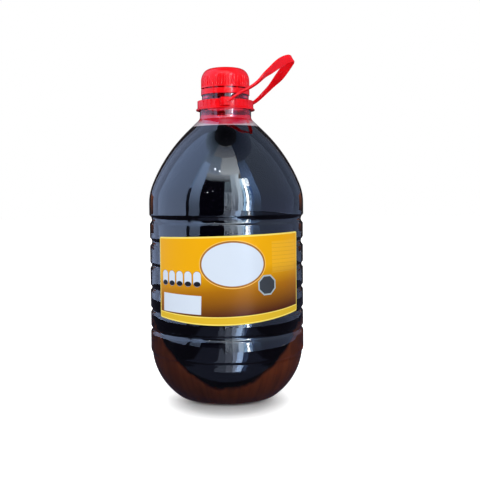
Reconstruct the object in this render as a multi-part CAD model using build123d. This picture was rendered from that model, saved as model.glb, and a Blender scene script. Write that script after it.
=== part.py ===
from build123d import *
import os
from math import acos, asin, atan2, cos, degrees, floor, radians, sin

# A five-litre clear plastic bottle of soy sauce with a screw cap, a carrying handle clipped round
# its neck and a label on the front.
# Frame: millimetres, +Z up, origin at the centre of the foot on the surface that the bottle stands
# on. The label faces -Y, and the handle's loop is raised towards +X.

# ---- body ----
body_radius = 81.8
wall = 0.6  # blown wall of the body
push_up_height = 11.0  # hollow in the middle of the base
push_up_bend = 40.0
foot_inner_bend = 8.0
foot_radius = 46.5  # outer edge of the flat ring that the bottle stands on
foot_width = 4.0
foot_bend = 12.2  # bend from the foot up into the rounded base
base_bend = 65.7
base_lean = 9.0  # degrees from upright where the rounded base ends
base_inset = 1.9  # how far the base is drawn in from the side
seam_bend = 4.0  # rounding at the top of the base
seam_band = 1.5  # upright band over the seam
step_hollow = 2.0  # bends of the step from the seam band out to the side
step_round = 8.0
shoulder_height = 205.6  # where the straight side ends
shoulder_bend = 52.6  # first, tighter bend of the shoulder
shoulder_turn = 22.0  # degrees that it turns through
dome_bend = 162.0  # second, wider bend of the shoulder
cone_lean = 46.0  # degrees from upright at the shoulder's top
panel_recess = 0.3  # how far the label panel lies under the rest of the side

# ---- ring grooves: heights of their middles, depth and bend of the floor ----
groove_lip = 2.0
narrow_grooves = [73.6, 93.9, 117.0, 140.6]
narrow_depth = 1.9
narrow_floor = 3.3
wide_grooves = [165.2, 188.8]
wide_depth = 2.5
wide_floor = 5.0

# ---- neck ----
neck_radius = 27.2
neck_bend = 5.0
neck_cone_height = 10.0  # where the inside narrows to the mouth
collar_radius = 24.8  # clear collar that shows between the cap and the handle
finish_radius = 22.8  # mouth of the neck, under the cap
finish_wall = 2.1
bead_width = 1.0  # bead that keeps the handle's ring on the neck
bead_height = 2.2
bead_sink = 1.2  # how far the bead's top lies under the ring's top

# ---- levels up the neck ----
ring_rise = 6.875  # the ring's lower edge, over the place where the neck's side turns upright
ring_height = 9.6
band_rise = 16.0  # the cap's sealing band, the mouth and the cap's top, over the ring's lower edge
mouth_rise = 34.2
cap_rise = 43.6

# ---- cap ----
cap_radius = 25.6
cap_wall = 1.7
seal_inset = 0.4  # the cap's sealing ring lies this far in from the mouth's outer edge
seal_width = 1.2
cap_side_bend = 16.2  # the skirt leans in on this bend
cap_side_lean = 30.0  # degrees from upright at its end
cap_top_bend = 10.1  # bend on over to the flat top
cap_clearance = 0.3
flute_count = 48
flute_radius = 0.9
skirt_rim = 1.4  # plain rim under the flutes
band_height = 5.4
slit_height = 1.4
bridge_count = 12
bridge_width = 1.6

# ---- handle ----
ring_clearance = 0.3
ring_wall = 2.1
flange_width = 1.4
flange_height = 2.2
notch_count = 36
notch_width = 0.7
notch_depth = 0.45
boss_width = 10.0
boss_depth = 3.0
boss_rise = 1.4
boss_round = 1.1
strap_thickness = 2.6
strap_chamfer = 0.7
strap_reach = 71.7  # from the bottle's axis to the end of the loop
strap_rise = 43.6  # from the ring's top to the end of the loop
strap_steps = 4  # sections from one station of the strap to the next

# ---- sauce and label ----
headspace = 18.2  # how far the sauce's level lies under the ring
label_thickness = 0.2
label_left = 55.5  # degrees round the side from the front to each end
label_right = 60.5
label_bottom = 93.5  # height of the lower edge's ends, halfway between them
label_height = 80.9
label_tilt = 1.7  # degrees, right end up
label_bow = 6.2  # how far the lower edge sags in the middle
label_corner = 1.5

# ---- sizes that follow ----
ring_bore = neck_radius + ring_clearance
ring_outer = ring_bore + ring_wall
bead_pocket = neck_radius + bead_width + ring_clearance
cap_bore = cap_radius - cap_wall


class Outline:
    """A line drawn in the XZ plane, each move going on from the last.

    The line runs up the right-hand side of the bottle, with the bottle's inside on its left. With an
    inset, it is drawn that much further in: left turns get tighter and right turns wider.
    """

    def __init__(self, x, z, inset=0.0):
        self.inset = inset
        self.at = Vector(x, z)
        self.heading = 0.0
        self.edges = []

    def step(self, end, edge):
        self.edges.append(edge)
        self.at = end

    def forward(self, length):
        end = self.at + Vector(cos(radians(self.heading)), sin(radians(self.heading))) * length
        self.step(end, Line(self.at, end))

    def up_to(self, z):
        self.forward(z - self.at.Y)

    def left(self, radius, turn):
        direction = (cos(radians(self.heading)), sin(radians(self.heading)))
        arc = JernArc(self.at, direction, radius - self.inset, turn)
        self.heading += turn
        self.step(arc @ 1, arc)

    def right(self, radius, turn):
        direction = (cos(radians(self.heading)), sin(radians(self.heading)))
        arc = JernArc(self.at, direction, radius + self.inset, -turn)
        self.heading -= turn
        self.step(arc @ 1, arc)

    def closed_through(self, *corners):
        """The face between this line, the given corners and the line's start."""
        back = Polyline(self.at, *corners, self.edges[0] @ 0)
        return make_face([*self.edges, *back.edges()])


def turned(face):
    """The solid that a face drawn in the XZ plane makes round the Z axis."""
    return revolve(Plane.XZ * face, Axis.Z, 360)


def turned_outline(*points):
    return turned(make_face(Polyline(*points, close=True)))


def ring_between(inner, outer, bottom, top):
    return turned_outline((inner, bottom), (outer, bottom), (outer, top), (inner, top))


def spread(radius, count, shape):
    """Copies of a flat shape, evenly round a circle."""
    return Sketch() + [place * shape for place in PolarLocations(radius, count)]


def drop(depth, bends):
    """The turn, in degrees, of two equal and opposite bends that shift a line sideways by depth."""
    return degrees(acos(1 - depth / bends))


def groove(line, height, floor, depth_below, depth_above):
    """A ring groove with its middle at this height, and its depth from the side below and above."""
    bends = groove_lip + floor
    below, above = drop(depth_below, bends), drop(depth_above, bends)
    line.up_to(height - bends * sin(radians(below)))
    line.left(groove_lip, below)
    line.right(floor, below + above)
    line.left(groove_lip, above)


def body_line(inset):
    """The bottle's side from the middle of the base up to the upright neck."""
    push_turn = drop(push_up_height, push_up_bend + foot_inner_bend)
    push_width = (push_up_bend + foot_inner_bend) * sin(radians(push_turn))
    base_end = body_radius - base_inset - seam_bend * (1 - sin(radians(90 - base_lean)))
    reach = foot_radius + base_bend * cos(radians(base_lean)) - base_end
    foot_turn = degrees(asin(reach / (base_bend - foot_bend)))
    step_turn = drop(base_inset, step_hollow + step_round)
    narrow = narrow_depth - panel_recess
    wide = wide_depth - panel_recess

    line = Outline(0, push_up_height + inset, inset)
    line.forward(foot_radius - foot_width - push_width)
    line.right(push_up_bend, push_turn)
    line.left(foot_inner_bend, push_turn)
    line.forward(foot_width)
    line.left(foot_bend, foot_turn)
    line.left(base_bend, 90 - base_lean - foot_turn)
    line.left(seam_bend, base_lean)
    line.forward(seam_band)
    line.right(step_hollow, step_turn)
    line.left(step_round, step_turn)
    groove(line, narrow_grooves[0], narrow_floor, narrow_depth, narrow)
    for height in narrow_grooves[1:]:
        groove(line, height, narrow_floor, narrow, narrow)
    for height in wide_grooves[:-1]:
        groove(line, height, wide_floor, wide, wide)
    groove(line, wide_grooves[-1], wide_floor, wide, wide_depth)
    line.up_to(shoulder_height)
    line.left(shoulder_bend, shoulder_turn)
    line.left(dome_bend, cone_lean - shoulder_turn)
    bend_width = (neck_bend + inset) * (1 - cos(radians(cone_lean)))
    line.forward((line.at.X - (neck_radius - inset) - bend_width) / sin(radians(cone_lean)))
    line.right(neck_bend, cone_lean)
    return line


# ---- levels that follow from the shoulder's top ----
ring_bottom = body_line(0).at.Y + ring_rise
ring_top = ring_bottom + ring_height
bead_top = ring_top - bead_sink
bead_bottom = bead_top - bead_height
sauce_level = ring_bottom - headspace
band_bottom = ring_bottom + band_rise
band_top = band_bottom + band_height
skirt_bottom = band_top + slit_height
finish_bottom = band_bottom - cap_clearance
bottle_top = ring_bottom + mouth_rise
cap_top = ring_bottom + cap_rise


def make_bottle():
    """The hollow bottle with its bead, collar and mouth."""
    outside = body_line(0)
    outer = outside.closed_through(
        (neck_radius, bead_bottom),
        (neck_radius + bead_width, bead_bottom + bead_width / 2),
        (neck_radius + bead_width, bead_top - bead_width),
        (neck_radius, bead_top),
        (collar_radius, bead_top),
        (collar_radius, finish_bottom),
        (finish_radius, finish_bottom),
        (finish_radius, bottle_top),
        (0, bottle_top),
    )
    return turned(outer) - turned(inside_face(bottle_top))


def inside_face(top):
    """The hollow of the bottle up to a level, drawn in the XZ plane."""
    mouth = finish_radius - finish_wall
    inside = body_line(wall)
    hollow = inside.closed_through(
        (neck_radius - wall, ring_bottom),
        (mouth, ring_bottom + neck_cone_height),
        (mouth, bottle_top),
        (0, bottle_top),
    )
    keep = Location((body_radius / 2, top / 2)) * Rectangle(body_radius, top)
    return hollow & keep


def cap_side(inset):
    """The cap's side from the skirt's lower edge, leaning in and over to the flat top."""
    lean = radians(cap_side_lean)
    line = Outline(cap_radius - inset, skirt_bottom, inset)
    line.heading = 90.0
    line.up_to(cap_top - cap_top_bend * (1 - sin(lean)) - cap_side_bend * sin(lean))
    line.left(cap_side_bend, cap_side_lean)
    line.left(cap_top_bend, 90 - cap_side_lean)
    return line


def make_cap():
    """The screw cap: a fluted skirt with its sealing band hanging from it on small bridges."""
    seal_outer = finish_radius - seal_inset
    seal = ring_between(seal_outer - seal_width, seal_outer, bottle_top, cap_top)
    hollow = turned(cap_side(cap_wall).closed_through((0, cap_top - cap_wall), (0, skirt_bottom)))
    skirt = turned(cap_side(0).closed_through((0, cap_top), (0, skirt_bottom))) - (hollow - seal)
    flutes = spread(cap_radius, flute_count, Circle(flute_radius))
    skirt -= Pos(Z=skirt_bottom + skirt_rim) * extrude(flutes, cap_top - skirt_bottom)
    band = ring_between(cap_bore, cap_radius, band_bottom, band_top)
    slit = ring_between(cap_bore, cap_radius - flute_radius, band_top, skirt_bottom)
    spokes = spread(cap_radius / 2, bridge_count, Rectangle(cap_radius, bridge_width))
    bridges = slit & (Pos(Z=band_top) * extrude(spokes, slit_height))
    return skirt + band + bridges


# The strap's stations from its front root over the loop's end to its back root: share of the reach,
# share of the half span, share of the rise, width, and twist in degrees out of the loop's plane.
strap_stations = [
    (0.03, -1.00, -0.08, 6.0, 0),
    (0.19, -1.01, 0.10, 6.0, 0),
    (0.35, -1.00, 0.24, 6.2, 4),
    (0.46, -0.94, 0.37, 6.6, 12),
    (0.56, -0.83, 0.54, 7.6, 28),
    (0.66, -0.69, 0.68, 8.8, 48),
    (0.77, -0.50, 0.84, 9.6, 62),
    (0.88, -0.27, 0.96, 9.6, 76),
    (0.96, -0.12, 1.01, 8.6, 86),
    (0.985, 0.00, 0.995, 7.8, 90),
    (0.955, 0.12, 0.93, 8.6, 94),
    (0.87, 0.31, 0.76, 9.8, 104),
    (0.80, 0.53, 0.62, 9.2, 120),
    (0.70, 0.77, 0.45, 7.0, 140),
    (0.60, 0.90, 0.29, 6.4, 152),
    (0.48, 0.98, 0.11, 6.2, 164),
    (0.36, 1.01, 0.00, 6.0, 174),
    (0.20, 1.01, -0.05, 6.0, 180),
    (0.03, 1.00, -0.09, 6.0, 180),
]


def between_stations(column, place):
    """A value between the stations, on a smooth curve through them (Catmull-Rom)."""
    last = len(strap_stations) - 1
    index = min(floor(place), last - 1)
    share = place - index
    a, b, c, d = (
        strap_stations[min(max(index + step, 0), last)][column] for step in (-1, 0, 1, 2)
    )
    return b + 0.5 * share * (
        c - a + share * (2 * a - 5 * b + 4 * c - d + share * (3 * (b - c) + d - a))
    )


def strap_point(place):
    half_span = ring_outer + boss_depth / 2
    return Vector(
        strap_reach * between_stations(0, place),
        half_span * between_stations(1, place),
        ring_top + strap_rise * between_stations(2, place),
    )


def strap_section(place):
    """The strap's cross-section, a rectangle with its corners cut off."""
    nudge = 0.02  # share of a station's length that the direction along the strap is taken over
    end = len(strap_stations) - 1
    before, after = max(place - nudge, 0), min(place + nudge, end)
    along = (strap_point(after) - strap_point(before)).normalized()
    slope = atan2(strap_rise, strap_reach)
    lift = Vector(-sin(slope), 0, cos(slope))
    lift = (lift - along * lift.dot(along)).normalized()
    side = along.cross(lift)
    twist = radians(between_stations(4, place))
    across = side * cos(twist) + lift * sin(twist)
    through = along.cross(across)
    centre = strap_point(place)
    half_width = between_stations(3, place) / 2
    half_thickness = strap_thickness / 2
    cut_width, cut_thickness = half_width - strap_chamfer, half_thickness - strap_chamfer
    corners = [
        (half_width, cut_thickness),
        (cut_width, half_thickness),
        (-cut_width, half_thickness),
        (-half_width, cut_thickness),
        (-half_width, -cut_thickness),
        (-cut_width, -half_thickness),
        (cut_width, -half_thickness),
        (half_width, -cut_thickness),
    ]
    return Wire.make_polygon([centre + across * a + through * b for a, b in corners])


def make_handle():
    """The carrying handle: a ring with a flange round the neck, and the strap raised from it."""
    ring = turned_outline(
        (ring_bore, ring_bottom),
        (ring_outer + flange_width, ring_bottom),
        (ring_outer + flange_width, ring_bottom + flange_height / 2),
        (ring_outer, ring_bottom + flange_height),
        (ring_outer, ring_top),
        (bead_pocket, ring_top),
        (bead_pocket, bead_bottom - ring_clearance),
        (ring_bore, bead_bottom - ring_clearance),
    )
    notches = spread(ring_outer, notch_count, Rectangle(2 * notch_depth, notch_width))
    notch_bottom = ring_bottom + flange_height
    ring -= Pos(Z=notch_bottom) * extrude(notches, ring_top - notch_bottom)
    boss_length = 3 * boss_depth  # a third stands out of the ring, the rest is cut to its bore
    for side in (-1, 1):
        boss = Pos(0, side * (ring_outer + boss_depth - boss_length / 2), notch_bottom) * Box(
            boss_width,
            boss_length,
            ring_top + boss_rise - notch_bottom,
            align=(Align.CENTER, Align.CENTER, Align.MIN),
        )
        boss = fillet(boss.edges(), boss_round)
        keep = ring_between(bead_pocket, ring_outer + boss_depth, notch_bottom, cap_top)
        ring += boss & keep
    count = strap_steps * (len(strap_stations) - 1)
    strap = Solid.make_loft([strap_section(step / strap_steps) for step in range(count + 1)], True)
    return ring + strap


def make_label():
    """The label, wrapped round the recessed panel."""
    panel = body_radius - panel_recess
    sheet = ring_between(panel, panel + label_thickness, 0, shoulder_height)
    left, right = panel * sin(radians(label_left)), panel * sin(radians(label_right))
    middle = (right - left) / 2
    half = (right + left) / 2
    lift = half * sin(radians(label_tilt))
    low_left = (middle - half, label_bottom - lift)
    low_right = (middle + half, label_bottom + lift)
    high_left = (middle - half, label_bottom + label_height - lift)
    high_right = (middle + half, label_bottom + label_height + lift)
    lower = ThreePointArc(low_left, (middle, label_bottom - label_bow), low_right)
    upper = Polyline(low_right, high_right, high_left, low_left)
    outline = make_face([lower, *upper.edges()])
    outline = fillet(outline.vertices(), label_corner)
    return sheet & extrude(Plane.XZ * outline, body_radius)


def main():
    os.makedirs("parts", exist_ok=True)
    pieces = {
        "bottle": make_bottle(),
        "sauce": turned(inside_face(sauce_level)),
        "cap": make_cap(),
        "handle": make_handle(),
        "label": make_label(),
    }
    for name, piece in pieces.items():
        export_step(piece, f"parts/{name}.step")
        print(name, f"{piece.volume / 1e6:.4f} litres", piece.bounding_box())


main()
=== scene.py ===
from math import atan2, cos, pi, radians, sin

import bpy
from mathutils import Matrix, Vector


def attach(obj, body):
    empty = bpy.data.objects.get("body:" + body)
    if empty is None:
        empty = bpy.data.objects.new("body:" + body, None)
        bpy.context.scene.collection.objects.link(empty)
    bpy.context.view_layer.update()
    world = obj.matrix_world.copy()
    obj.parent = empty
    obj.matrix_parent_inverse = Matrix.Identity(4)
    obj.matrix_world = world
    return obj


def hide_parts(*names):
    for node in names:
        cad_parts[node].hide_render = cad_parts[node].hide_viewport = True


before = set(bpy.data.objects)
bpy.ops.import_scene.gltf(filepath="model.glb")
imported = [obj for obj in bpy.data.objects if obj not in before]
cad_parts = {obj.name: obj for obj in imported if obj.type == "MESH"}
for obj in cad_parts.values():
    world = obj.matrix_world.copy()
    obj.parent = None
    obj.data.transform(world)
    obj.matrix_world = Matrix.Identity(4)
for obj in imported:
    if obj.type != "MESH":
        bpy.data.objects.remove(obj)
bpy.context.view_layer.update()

# A five-litre bottle of soy sauce: clear blown plastic, dark sauce, red screw cap, red carrying
# handle and a wrap label. Metres, +Z up, the label faces -Y.

MM = 0.001

# the label's own sizes, in millimetres round the side and up it
LABEL_RADIUS = 81.6
LABEL_LEFT, LABEL_RIGHT = -79.1, 86.2
LABEL_HALF = 69.05  # half its width seen from the front
LABEL_SLOPE = 0.0297  # it leans, right end up

# reflection cards stand on spheres round the bottle, nearer ones in front of the others
ROOM_DISTANCE, NEAR_DISTANCE, EDGE_DISTANCE = 2.6, 2.4, 2.3
CARD_HEIGHT = 0.17
CARD_FOOT = 0.0034  # below the horizon they lie on the floor
TABLE_HEIGHT, SLATE_HEIGHT, SHEEN_HEIGHT = 0.0024, 0.0026, 0.0029


# ---- small helpers ----
def work_on(piece):
    """Makes this piece the only selected and the active one."""
    bpy.ops.object.select_all(action="DESELECT")
    piece.select_set(True)
    bpy.context.view_layer.objects.active = piece


def copy_of_node(node, name):
    """A piece of its own with a CAD node's shape, its loose triangles joined up."""
    piece = bpy.data.objects.new(name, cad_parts[node].data.copy())
    bpy.context.scene.collection.objects.link(piece)
    piece.data.materials.clear()
    work_on(piece)
    if piece.data.has_custom_normals:
        bpy.ops.mesh.customdata_custom_splitnormals_clear()
    bpy.ops.object.mode_set(mode="EDIT")
    bpy.ops.mesh.select_all(action="SELECT")
    bpy.ops.mesh.remove_doubles(threshold=0.004 * MM)
    bpy.ops.object.mode_set(mode="OBJECT")
    return piece


def smooth(piece, angle):
    work_on(piece)
    bpy.ops.object.shade_smooth_by_angle(angle=radians(angle))


def finish_piece(piece, material, node):
    piece.data.materials.clear()
    piece.data.materials.append(material)
    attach(piece, "root")
    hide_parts(node)


class Finish:
    """A material whose nodes are added one by one."""

    def __init__(self, name):
        self.material = bpy.data.materials.new(name)
        self.material.use_nodes = True
        self.nodes = self.material.node_tree.nodes
        self.links = self.material.node_tree.links
        self.surface = self.nodes["Principled BSDF"]
        self.output = self.nodes["Material Output"]

    def feed(self, socket, value):
        if isinstance(value, bpy.types.NodeSocket):
            self.links.new(value, socket)
        elif isinstance(value, tuple) and len(value) == 3 and socket.type == "RGBA":
            socket.default_value = (*value, 1.0)
        else:
            socket.default_value = value

    def set(self, **values):
        """Sets the surface's sockets, written with _ for a space."""
        for name, value in values.items():
            self.feed(self.surface.inputs[name.replace("_", " ")], value)

    def add(self, kind, settings=None, **inputs):
        node = self.nodes.new(kind)
        for name, value in (settings or {}).items():
            setattr(node, name, value)
        for name, value in inputs.items():
            self.feed(node.inputs[name.replace("_", " ")], value)
        return node

    def math(self, operation, first, second=0.0, third=0.0):
        node = self.add("ShaderNodeMath", {"operation": operation})
        for socket, value in zip(node.inputs, (first, second, third)):
            self.feed(socket, value)
        return node.outputs[0]

    def place(self):
        return self.add("ShaderNodeTexCoord").outputs["Object"]

    def stretched(self, scale):
        return self.add("ShaderNodeMapping", Vector=self.place(), Scale=scale).outputs[0]

    def noise(self, scale, detail=2.0, vector=None):
        node = self.add("ShaderNodeTexNoise", Scale=scale, Detail=detail)
        self.links.new(vector or self.place(), node.inputs["Vector"])
        return node.outputs["Fac"]

    def span(self, value, start, end, low=0.0, high=1.0, linear=False):
        """Maps start..end to low..high, with soft ends unless it is linear."""
        kind = "LINEAR" if linear else "SMOOTHSTEP"
        node = self.add("ShaderNodeMapRange", {"interpolation_type": kind})
        for socket, given in zip(node.inputs, (value, start, end, low, high)):
            self.feed(socket, given)
        return node.outputs[0]

    def mix(self, share, first, second):
        node = self.add("ShaderNodeMix", {"data_type": "RGBA"})
        for socket, given in ((0, share), (6, first), (7, second)):
            self.feed(node.inputs[socket], given)
        return node.outputs[2]

    def bump(self, height, distance, strength=1.0):
        node = self.add("ShaderNodeBump", Height=height, Distance=distance, Strength=strength)
        return node.outputs[0]

    def parts_of_place(self):
        return self.add("ShaderNodeSeparateXYZ", Vector=self.place()).outputs

    def around_axis(self, turn, height):
        """A place on the unrolled side: the turn round the axis and the height."""
        return self.add("ShaderNodeCombineXYZ", X=turn, Y=height).outputs[0]


# ---- materials ----
def clear_plastic():
    """Clear plastic, with the red of the handle's ring and the cap painted in at the neck, where they
    show in the plastic.
    """
    finish = Finish("clear_blown_plastic")
    ripple = finish.noise(14.0, 1.0, finish.stretched((1.0, 1.0, 0.35)))
    height = finish.parts_of_place()[2]
    # painted red: the ring and cap as they show in the clear neck, made uneven by noise
    under_ring = finish.span(height, 0.2900, 0.2925)
    uneven_painted_red = finish.span(finish.noise(55.0, 2.0), 0.35, 0.65, 0.80, 1.0)
    clear, crimson = (1.0, 0.98, 0.985), (1.0, 0.03, 0.10)
    painted_red_through = finish.mix(finish.math("MULTIPLY", under_ring, uneven_painted_red), clear, crimson)
    finish.set(
        Base_Color=painted_red_through,
        Roughness=0.0,
        IOR=1.575,
        Transmission_Weight=1.0,
        Normal=finish.bump(ripple, 0.25 * MM),
    )
    return finish.material


def soy_sauce():
    """Dark liquid with painted light in it: browner low down and at the sides, where light gets through
    it.
    """
    finish = Finish("soy_sauce")
    x, y, z = finish.parts_of_place()
    round_axis = finish.math("ARCTAN2", x, finish.math("MULTIPLY", y, -1.0))
    sideways = finish.math("ABSOLUTE", finish.math("SINE", round_axis))
    painted_light_low_down = finish.span(z, 0.030, 0.150, 1.0, 0.0)
    # the painted brown light keeps off its front above a curved edge that climbs towards both sides, so
    # the front stays dark there
    edge = finish.math("MULTIPLY_ADD", finish.math("POWER", sideways, 2.0), 0.072, 0.020)
    wavy = finish.math("MULTIPLY", finish.noise(60.0, 2.0), 0.010)
    above_edge = finish.math("SUBTRACT", finish.math("ADD", z, wavy), edge)
    painted_light_below_edge = finish.span(above_edge, 0.003, 0.010, 1.0, 0.0)
    streaks = finish.add(
        "ShaderNodeMapping", Vector=finish.around_axis(round_axis, z), Scale=(14.0, 9.0, 1.0)
    ).outputs[0]
    streak = finish.span(finish.noise(1.0, 2.0, streaks), 0.25, 0.75, 0.80, 1.08)
    # the brown is painted light, as if coming through the liquid, in streaks
    share = finish.math("MULTIPLY", finish.math("MULTIPLY", painted_light_low_down, painted_light_below_edge), streak)
    brown, dark = (0.24, 0.050, 0.012), (0.0016, 0.0010, 0.0012)
    finish.set(Base_Color=finish.mix(share, dark, brown), Roughness=0.03, IOR=1.38)
    return finish.material


def red_plastic(name, colour):
    finish = Finish(name)
    mottle = finish.noise(90.0, 2.0)
    deep = tuple(0.86 * part for part in colour)
    finish.set(
        Base_Color=finish.mix(finish.span(mottle, 0.35, 0.65), deep, colour),
        Specular_IOR_Level=0.24,
        Roughness=finish.span(finish.noise(300.0, 3.0), 0.3, 0.7, 0.05, 0.10),
        Normal=finish.bump(finish.noise(250.0, 2.0), 0.004 * MM),
        IOR=1.5,
        Subsurface_Weight=0.10,
        Subsurface_Radius=(2.0, 0.2, 0.15),
        Subsurface_Scale=MM,
    )
    return finish.material


class LabelPrint(Finish):
    """The label's print, drawn on its own map: millimetres round the side and up it."""

    def __init__(self, name):
        super().__init__(name)
        where = self.add("ShaderNodeUVMap", {"uv_map": "wrap"}).outputs[0]
        split = self.add("ShaderNodeSeparateXYZ", Vector=where).outputs
        self.across = self.math("DIVIDE", split[0], MM)
        self.up = self.math("DIVIDE", split[1], MM)
        self.colour = (0.0, 0.0, 0.0)

    def edge(self, distance):
        """1 inside a shape and 0 outside it, from the distance to its edge."""
        return self.span(distance, -0.12, 0.12, 1.0, 0.0)

    def from_centre(self, centre, lean):
        """Place measured from a shape's centre, along its own leaning axes."""
        across = self.math("SUBTRACT", self.across, centre[0])
        up = self.math("SUBTRACT", self.up, centre[1])
        turn = radians(lean)
        along = self.math(
            "ADD", self.math("MULTIPLY", across, cos(turn)), self.math("MULTIPLY", up, sin(turn))
        )
        over = self.math(
            "SUBTRACT", self.math("MULTIPLY", up, cos(turn)), self.math("MULTIPLY", across, sin(turn))
        )
        return along, over

    def length(self, first, second):
        squares = self.math("ADD", self.math("POWER", first, 2.0), self.math("POWER", second, 2.0))
        return self.math("SQRT", squares)

    def box(self, centre, size, corner=0.0, lean=0.0):
        along, over = self.from_centre(centre, lean)
        outside = []
        for value, whole in zip((along, over), size):
            beyond = self.math("SUBTRACT", self.math("ABSOLUTE", value), whole / 2 - corner)
            outside.append(beyond)
        if not corner:
            return self.edge(self.math("MAXIMUM", *outside))
        reach = [self.math("MAXIMUM", value, 0.0) for value in outside]
        return self.edge(self.math("SUBTRACT", self.length(*reach), corner))

    def oval(self, centre, size, lean=0.0):
        along, over = self.from_centre(centre, lean)
        shares = [
            self.math("DIVIDE", value, whole / 2) for value, whole in zip((along, over), size)
        ]
        ratio = self.math("SUBTRACT", self.length(*shares), 1.0)
        return self.edge(self.math("MULTIPLY", ratio, min(size) / 2))

    def octagon(self, centre, width, lean=0.0):
        along, over = (self.math("ABSOLUTE", value) for value in self.from_centre(centre, lean))
        slant = self.math("MULTIPLY", self.math("ADD", along, over), cos(pi / 4))
        reach = self.math("MAXIMUM", self.math("MAXIMUM", along, over), slant)
        return self.edge(self.math("SUBTRACT", reach, width / 2))

    def paint(self, mask, colour):
        self.colour = self.mix(mask, self.colour, colour)


def label_print():
    amber, tan, brown = (0.87, 0.42, 0.001), (0.42, 0.155, 0.002), (0.085, 0.021, 0.008)
    yellow, cream = (0.76, 0.50, 0.028), (1.0, 0.80, 0.16)
    pale, rim, gold = (0.68, 0.77, 0.90), (0.36, 0.15, 0.03), (0.95, 0.55, 0.12)
    black, ink = (0.045, 0.052, 0.065), (0.012, 0.012, 0.016)
    label = LabelPrint("label_print")

    # the sheet's own edges: a straight leaning top edge and a sagging lower one
    turn = label.math("DIVIDE", label.across, LABEL_RADIUS)
    flat = label.math("SUBTRACT", label.math("MULTIPLY", label.math("SINE", turn), LABEL_RADIUS), 1.9)
    level = label.math("SUBTRACT", label.up, label.math("MULTIPLY", flat, LABEL_SLOPE))
    share = label.math("POWER", label.math("DIVIDE", flat, LABEL_HALF), 2.0)
    share = label.math("SUBTRACT", 1.0, share)
    above_foot = label.math("ADD", level, label.math("MULTIPLY", share, 6.2))
    above_foot = label.math("SUBTRACT", above_foot, 93.5)

    # ground: amber that turns tan and then brown towards the foot
    fall = label.math("SUBTRACT", label.up, label.math("MULTIPLY", label.across, 0.09))
    ramp = label.add("ShaderNodeValToRGB", Fac=label.span(fall, 96.0, 150.0, linear=True))
    ramp.color_ramp.elements[0].color = (*brown, 1.0)
    ramp.color_ramp.elements[1].color = (*amber, 1.0)
    ramp.color_ramp.elements[1].position = 0.86
    middle = ramp.color_ramp.elements.new(0.46)
    middle.color = (*tan, 1.0)
    label.colour = ramp.outputs[0]

    # table panel at the right, drawn as thin rules
    rule = label.math("FRACT", label.math("DIVIDE", label.up, 3.9))
    rule = label.span(label.math("ABSOLUTE", label.math("SUBTRACT", rule, 0.5)), 0.0, 0.09, 0.4, 0.0)
    panel = label.box((64.5, 153.0), (35.0, 31.0), 0.5, 1.7)
    label.paint(label.math("MULTIPLY", panel, 0.10), cream)
    label.paint(label.math("MULTIPLY", panel, rule), tan)

    # oval field with its gold and brown rims
    centre = (6.0, 146.6)
    label.paint(label.oval(centre, (67.0, 47.4)), gold)
    label.paint(label.oval(centre, (65.4, 45.8)), rim)
    label.paint(label.oval(centre, (62.0, 42.4)), pale)

    # five rounded tabs with a dark oval at the foot of each
    for step in range(5):
        middle = -69.6 + 9.95 * step
        label.paint(label.box((middle, 132.0), (8.8, 15.8), 4.2), rim)
        label.paint(label.box((middle, 132.0), (8.0, 15.0), 3.9), pale)
        label.paint(label.oval((middle, 127.2), (7.2, 5.0)), ink)

    # plain pale field at the lower left
    label.paint(label.box((-49.0, 107.2), (46.6, 18.4), 0.3, -1.6), pale)

    # dark octagon with a pale rim
    label.paint(label.octagon((41.2, 125.4), 19.8, 1.7), (0.40, 0.50, 0.55))
    label.paint(label.octagon((41.2, 125.4), 17.0, 1.7), black)

    # band along the foot, and the border all round
    band_top = label.math("ADD", 6.3, label.math("MULTIPLY", share, 1.6))
    label.paint(label.edge(label.math("SUBTRACT", above_foot, band_top)), yellow)
    rule = label.math("ABSOLUTE", label.math("SUBTRACT", above_foot, band_top))
    label.paint(label.edge(label.math("SUBTRACT", rule, 0.45)), cream)
    label.paint(label.edge(label.math("SUBTRACT", above_foot, 1.2)), cream)
    label.paint(label.edge(label.math("SUBTRACT", 172.9, level)), cream)
    label.paint(label.edge(label.math("SUBTRACT", label.across, LABEL_LEFT + 1.5)), cream)
    label.paint(label.edge(label.math("SUBTRACT", LABEL_RIGHT - 1.5, label.across)), cream)

    label.set(Base_Color=label.colour, Roughness=0.30, IOR=1.5, Specular_IOR_Level=0.12)
    return label.material


# ---- pieces ----
def make_bottle():
    shell = copy_of_node("bottle", "bottle_shell")
    smooth(shell, 35)
    finish_piece(shell, clear_plastic(), "bottle")


def make_sauce():
    sauce = copy_of_node("sauce", "soy_sauce")
    bpy.ops.object.mode_set(mode="EDIT")
    bpy.ops.mesh.select_all(action="SELECT")
    bpy.ops.transform.shrink_fatten(value=0.1 * MM)
    bpy.ops.object.mode_set(mode="OBJECT")
    smooth(sauce, 35)
    finish_piece(sauce, soy_sauce(), "sauce")


def make_cap():
    cap = copy_of_node("cap", "screw_cap")
    smooth(cap, 35)
    finish_piece(cap, red_plastic("red_cap_plastic", (1.0, 0.008, 0.014)), "cap")


def make_handle():
    handle = copy_of_node("handle", "carrying_handle")
    smooth(handle, 35)
    finish_piece(
        handle,
        red_plastic("red_handle_plastic", (0.98, 0.006, 0.012)),
        "handle",
    )


def make_label():
    label = copy_of_node("label", "wrap_label")
    smooth(label, 35)
    wrap = label.data.uv_layers.new(name="wrap")
    radius = LABEL_RADIUS * MM
    for loop in label.data.loops:
        x, y, z = label.data.vertices[loop.vertex_index].co
        wrap.data[loop.index].uv = (radius * atan2(x, -y), z)
    finish_piece(label, label_print(), "label")


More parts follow.
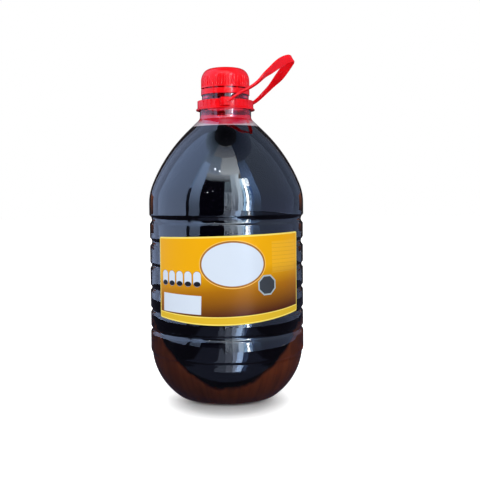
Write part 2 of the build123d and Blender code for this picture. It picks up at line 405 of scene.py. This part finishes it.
# ---- room: camera, lamps, cards and floor ----
def make_camera():
    data = bpy.data.cameras.new("camera")
    data.lens = 57.45
    data.sensor_width = 36.0
    data.clip_start, data.clip_end = 0.01, 50.0
    camera = bpy.data.objects.new("camera", data)
    camera.location = (0.0, -0.8185, 0.2142)
    camera.rotation_euler = (radians(90 - 3.4), radians(0.46), radians(-1.03))
    bpy.context.scene.collection.objects.link(camera)
    bpy.context.scene.camera = camera


def around(distance, azimuth, height):
    """A place round the bottle; azimuth 0 is the front and grows to the right."""
    turn = radians(azimuth)
    return Vector((distance * sin(turn), -distance * cos(turn), height))


def make_lamp(name, place, size, power, colour=(1.0, 1.0, 1.0), target=0.19):
    bpy.ops.object.light_add(type="AREA", location=place)
    lamp = bpy.context.object
    lamp.name = name
    lamp.data.shape = "RECTANGLE"
    lamp.data.size, lamp.data.size_y = size
    lamp.data.energy = power
    lamp.data.color = colour
    aim = Vector((0.0, 0.0, target)) - Vector(place)
    lamp.rotation_euler = aim.to_track_quat("-Z", "Y").to_euler()
    lamp.visible_glossy = False
    lamp.visible_transmission = False


def glowing(name, low_colour, high_colour, low, high):
    """A card's light, which changes from its foot to its top."""
    finish = Finish(name)
    height = finish.parts_of_place()[2]
    colour = finish.mix(finish.span(height, low, high, linear=True), low_colour, high_colour)
    glow = finish.add("ShaderNodeEmission", Color=colour, Strength=1.0)
    finish.links.new(glow.outputs[0], finish.output.inputs["Surface"])
    finish.material.cycles.emission_sampling = "NONE"
    return finish.material


def make_card(name, azimuths, elevations, low_colour, high_colour=None, distance=NEAR_DISTANCE):
    """A curved reflection card between two azimuths and two elevations, in degrees."""
    bpy.ops.mesh.primitive_grid_add(x_subdivisions=10, y_subdivisions=24, size=1.0)
    card = bpy.context.object
    card.name = name
    heights = []
    for vertex in card.data.vertices:
        across, over = vertex.co.x + 0.5, vertex.co.y + 0.5
        turn = azimuths[0] + (azimuths[1] - azimuths[0]) * across
        rise = radians(elevations[0] + (elevations[1] - elevations[0]) * over)
        reach = distance
        if rise < 0:
            reach = min(reach, (CARD_HEIGHT - CARD_FOOT) / sin(-rise))
        vertex.co = around(reach * cos(rise), turn, CARD_HEIGHT + reach * sin(rise))
        heights.append(vertex.co.z)
    material = glowing(name, low_colour, high_colour or low_colour, min(heights), max(heights))
    card.data.materials.append(material)
    show_to_reflections_only(card)
    return card


def make_table_card(name, corners, height, colour):
    """A flat reflection card on the floor, with its corners in turn."""
    bpy.ops.mesh.primitive_plane_add(size=1.0)
    card = bpy.context.object
    card.name = name
    order = (0, 1, 3, 2)
    for index, (x, y) in zip(order, corners):
        card.data.vertices[index].co = (x, y, height)
    card.data.materials.append(glowing(name, colour, colour, 0.0, 1.0))
    show_to_reflections_only(card)


def show_to_reflections_only(card):
    card.visible_camera = False
    card.visible_diffuse = False
    card.visible_shadow = False
    card.visible_volume_scatter = False


# the room in the gloss: name, azimuths, elevations, light at the foot and at the top
ROOM_CARDS = (
    ("wall_left", (-118.0, -59.5), (-11.0, 66.0), (1.0, 1.3, 2.0), (0.95, 1.3, 2.1)),
    ("wall_left_far", (-140.0, -118.0), (-11.0, 77.0), (0.62, 0.78, 1.2), (0.62, 0.78, 1.2)),
    ("wall_left_end", (-149.0, -140.0), (-11.0, 77.0), (0.38, 0.47, 0.72), (0.38, 0.47, 0.72)),
    ("wall_left_high", (-118.0, -54.0), (66.0, 77.0), (0.8, 1.1, 1.6), (0.15, 0.2, 0.3)),
    ("wall_line", (-59.5, -54.5), (-11.0, 30.0), (0.03, 0.03, 0.05), (0.10, 0.12, 0.2)),
    ("wall_line_high", (-59.5, -54.5), (30.0, 66.0), (1.1, 1.7, 2.9), (1.0, 1.4, 2.1)),
    ("jamb", (-54.5, -38.5), (-11.0, 58.0), (0.6, 0.8, 1.2), (1.7, 2.4, 3.8)),
    ("jamb_high", (-54.5, -38.5), (58.0, 77.0), (1.2, 1.6, 2.3), (0.2, 0.3, 0.4)),
    ("doorway", (-38.5, -3.0), (-11.0, 45.0), (0.01, 0.01, 0.03), (0.02, 0.02, 0.04)),
    ("lintel", (-38.5, 8.0), (45.0, 51.0), (0.4, 0.5, 0.6), (2.2, 2.5, 2.9)),
    ("ceiling_left", (-38.5, -12.0), (51.0, 66.0), (1.7, 2.1, 2.8), (0.9, 1.2, 1.6)),
    ("ceiling", (-12.0, 29.0), (51.0, 66.0), (3.7, 4.1, 4.5), (1.9, 2.1, 2.3)),
    ("ceiling_high", (-38.5, 31.0), (66.0, 76.0), (1.2, 1.3, 1.5), (0.5, 0.6, 0.8)),
    ("curtain_edge", (-3.0, 8.0), (-11.0, 45.0), (0.22, 0.27, 0.38), (1.0, 1.3, 1.6)),
    ("curtain", (8.0, 17.0), (-11.0, 51.0), (1.1, 1.3, 1.7), (3.2, 3.9, 4.6)),
    ("curtain_bright", (17.0, 24.0), (-11.0, 51.0), (3.6, 4.6, 5.8), (5.2, 6.2, 7.0)),
    ("pane_left", (24.0, 28.5), (-11.0, 47.0), (3.6, 6.0, 9.0), (5.0, 7.4, 9.6)),
    ("pane_middle", (28.5, 33.0), (-11.0, 47.0), (14.0, 15.0, 16.0), (14.0, 15.0, 15.5)),
    ("pane_right", (33.0, 36.5), (-11.0, 36.0), (2.8, 4.4, 7.2), (2.8, 4.8, 7.5)),
    ("pane_top", (33.0, 40.0), (36.0, 46.5), (12.0, 13.0, 14.0), (8.0, 9.5, 11.0)),
    ("window_head", (29.0, 51.0), (46.5, 60.0), (0.8, 1.2, 2.2), (0.4, 0.6, 1.0)),
    ("window_frame", (36.5, 40.0), (-11.0, 36.0), (0.6, 0.9, 1.5), (0.5, 1.0, 2.6)),
    ("right_near", (40.0, 51.0), (-11.0, 46.5), (0.4, 0.55, 0.85), (0.9, 1.5, 2.8)),
    ("wall_right", (51.0, 118.0), (-11.0, 60.0), (0.32, 0.40, 0.66), (0.38, 0.48, 0.68)),
    ("wall_right_far", (118.0, 140.0), (-11.0, 77.0), (0.22, 0.28, 0.44), (0.24, 0.30, 0.44)),
    ("wall_right_end", (140.0, 149.0), (-11.0, 77.0), (0.15, 0.19, 0.30), (0.16, 0.20, 0.30)),
    ("wall_right_high", (31.0, 118.0), (60.0, 77.0), (0.25, 0.32, 0.5), (0.08, 0.12, 0.22)),
    ("ceiling_dark", (-180.0, 180.0), (76.0, 90.0), (0.05, 0.06, 0.08), (0.02, 0.02, 0.03)),
)

# the table's sheen: name, far edge from and to, near edge from and to, light
SHEEN_CARDS = (
    ("sheen_left", -0.16, -0.02, -0.034, -0.006, (0.42, 0.50, 0.70)),
    ("sheen_middle", -0.02, 0.12, -0.006, 0.010, (0.72, 0.84, 1.12)),
    ("sheen_right", 0.12, 0.22, 0.010, 0.018, (1.6, 1.95, 2.7)),
    ("sheen_window", 0.22, 0.36, 0.018, 0.032, (3.4, 4.8, 7.2)),
    ("sheen_edge", 0.36, 0.50, 0.032, 0.045, (0.30, 0.45, 0.9)),
)


def make_room_cards():
    for name, azimuths, elevations, low_colour, high_colour in ROOM_CARDS:
        make_card(name, azimuths, elevations, low_colour, high_colour, ROOM_DISTANCE)


def make_near_cards():
    """Curtain folds, the window's bars and posts, ceiling lamps and a bright line in the window."""
    for fold in range(7):
        start = -2.6 + 2.3 * fold
        make_card(f"fold_{fold}", (start, start + 0.8), (-11.0, 24.0), (3.4, 3.9, 4.6), (2.6, 3.1, 3.8))
    for bar, rise in enumerate((2.0, 9.0, 17.5, 27.0)):
        make_card(f"bar_{bar}", (24.0, 36.5), (rise, rise + 1.1), (0.10, 0.22, 0.40))
    for post, turn in enumerate((24.0, 28.1, 33.0)):
        make_card(f"post_{post}", (turn, turn + 0.7), (-11.0, 36.0), (0.08, 0.16, 0.30))
    bulbs = ((-25.0, 54.0), (-15.0, 53.0), (-29.0, 22.0), (-20.7, 25.0))
    for bulb, (turn, rise) in enumerate(bulbs):
        make_card(f"bulb_{bulb}", (turn, turn + 1.4), (rise, rise + 1.4), (26.0, 28.0, 32.0))
    make_card("glint", (30.2, 31.7), (-11.0, 36.0), (34.0, 37.0, 40.0), (30.0, 34.0, 38.0))


def make_edge_cards():
    """Brown light at both edges of the straight side, and what is behind the bottle."""
    for name, azimuths in (("edge_left", (-152.0, -136.0)), ("edge_right", (136.0, 152.0))):
        low_colour, high_colour = (0.05, 0.03, 0.03), (0.42, 0.14, 0.07)
        make_card(name, azimuths, (-3.0, 6.0), low_colour, high_colour, EDGE_DISTANCE)
    # dark for reflections, pale for what is seen through the neck
    back = make_card("back", (149.0, 211.0), (-11.0, 77.0), (0.03, 0.025, 0.03), None, EDGE_DISTANCE)
    back.visible_transmission = False
    low_colour, high_colour = (0.56, 0.45, 0.50), (0.75, 0.75, 0.8)
    glow = make_card(
        "back_glow", (140.0, 220.0), (-11.0, 60.0), low_colour, high_colour, EDGE_DISTANCE
    )
    glow.visible_glossy = False


def make_table_cards():
    """A dark table, a slate-coloured patch on it and the sheen of the window on that."""
    reach, far = 0.85, -0.86
    corners = ((-reach, -reach), (reach, -reach), (reach, reach), (-reach, reach))
    make_table_card("table", corners, TABLE_HEIGHT, (0.03, 0.03, 0.05))
    near = -0.092
    corners = ((-0.60, far), (0.70, far), (0.105, near), (-0.115, near))
    make_table_card("slate", corners, SLATE_HEIGHT, (0.09, 0.11, 0.19))
    near = -0.125
    for name, far_start, far_end, near_start, near_end, colour in SHEEN_CARDS:
        corners = ((far_start, far), (far_end, far), (near_end, near), (near_start, near))
        make_table_card(name, corners, SHEEN_HEIGHT, colour)


def make_floor():
    bpy.ops.mesh.primitive_plane_add(size=12.0, location=(0.0, 0.0, 0.0))
    floor = bpy.context.object
    floor.name = "floor"
    finish = Finish("pale_floor_painted_shadow")
    finish.set(Base_Color=(0.82, 0.82, 0.82), Roughness=1.0, Specular_IOR_Level=0.0)
    path = finish.add("ShaderNodeLightPath").outputs
    seen = finish.math("MAXIMUM", path["Is Camera Ray"], path["Is Transmission Ray"])
    seen = finish.math("MAXIMUM", seen, path["Is Glossy Ray"])
    # painted shadow: the floor's glow for camera, glossy and transmission rays fades out towards a
    # point 45 mm in front of the bottle's axis, so the floor is darker there
    shifted = finish.add("ShaderNodeMapping", Vector=finish.place(), Location=(0.0, 0.045, 0.0))
    painted_shadow_distance = finish.add("ShaderNodeVectorMath", {"operation": "LENGTH"})
    finish.links.new(shifted.outputs[0], painted_shadow_distance.inputs[0])
    near = finish.span(painted_shadow_distance.outputs["Value"], 0.028, 0.085, 0.0, 0.85)
    level = finish.math("ADD", near, finish.span(painted_shadow_distance.outputs["Value"], 0.07, 0.4, 0.0, 0.3))
    glow = finish.add("ShaderNodeEmission", Color=(1.0, 1.0, 1.0))
    finish.feed(glow.inputs["Strength"], finish.math("MULTIPLY", seen, level))
    both = finish.add("ShaderNodeAddShader")
    finish.links.new(finish.surface.outputs[0], both.inputs[0])
    finish.links.new(glow.outputs[0], both.inputs[1])
    finish.links.new(both.outputs[0], finish.output.inputs["Surface"])
    finish.material.cycles.emission_sampling = "NONE"
    floor.data.materials.append(finish.material)


def make_world():
    world = bpy.data.worlds.new("studio")
    bpy.context.scene.world = world
    world.use_nodes = True
    nodes, links = world.node_tree.nodes, world.node_tree.links
    background = nodes["Background"]
    background.inputs["Color"].default_value = (1.0, 1.0, 1.0, 1.0)
    path = nodes.new("ShaderNodeLightPath")
    first = nodes.new("ShaderNodeMath")
    second = nodes.new("ShaderNodeMath")
    first.operation = second.operation = "MAXIMUM"
    links.new(path.outputs["Is Camera Ray"], first.inputs[0])
    links.new(path.outputs["Is Glossy Ray"], first.inputs[1])
    links.new(first.outputs[0], second.inputs[0])
    links.new(path.outputs["Is Transmission Ray"], second.inputs[1])
    level = nodes.new("ShaderNodeMapRange")
    links.new(second.outputs[0], level.inputs[0])
    level.inputs[3].default_value = 0.50  # ambient light on the object
    level.inputs[4].default_value = 1.0
    links.new(level.outputs[0], background.inputs["Strength"])


make_camera()
make_world()
make_floor()
make_lamp("window_lamp", around(1.9, 34.0, 0.75), (0.35, 1.1), 9.0)
make_lamp("left_lamp", around(2.0, -55.0, 0.9), (1.0, 1.0), 11.0)
make_lamp("top_lamp", (0.0, -0.3, 2.2), (1.2, 1.2), 10.0)
make_lamp("cap_lamp", around(0.75, 8.0, 0.75), (0.25, 0.25), 1.0, target=0.33)

make_room_cards()
make_near_cards()
make_edge_cards()
make_table_cards()

make_bottle()
make_sauce()
make_cap()
make_handle()
make_label()

bpy.context.scene.view_settings.view_transform = "Standard"
bpy.context.scene.cycles.max_bounces = 24
bpy.context.scene.cycles.transmission_bounces = 20
bpy.context.scene.cycles.glossy_bounces = 10
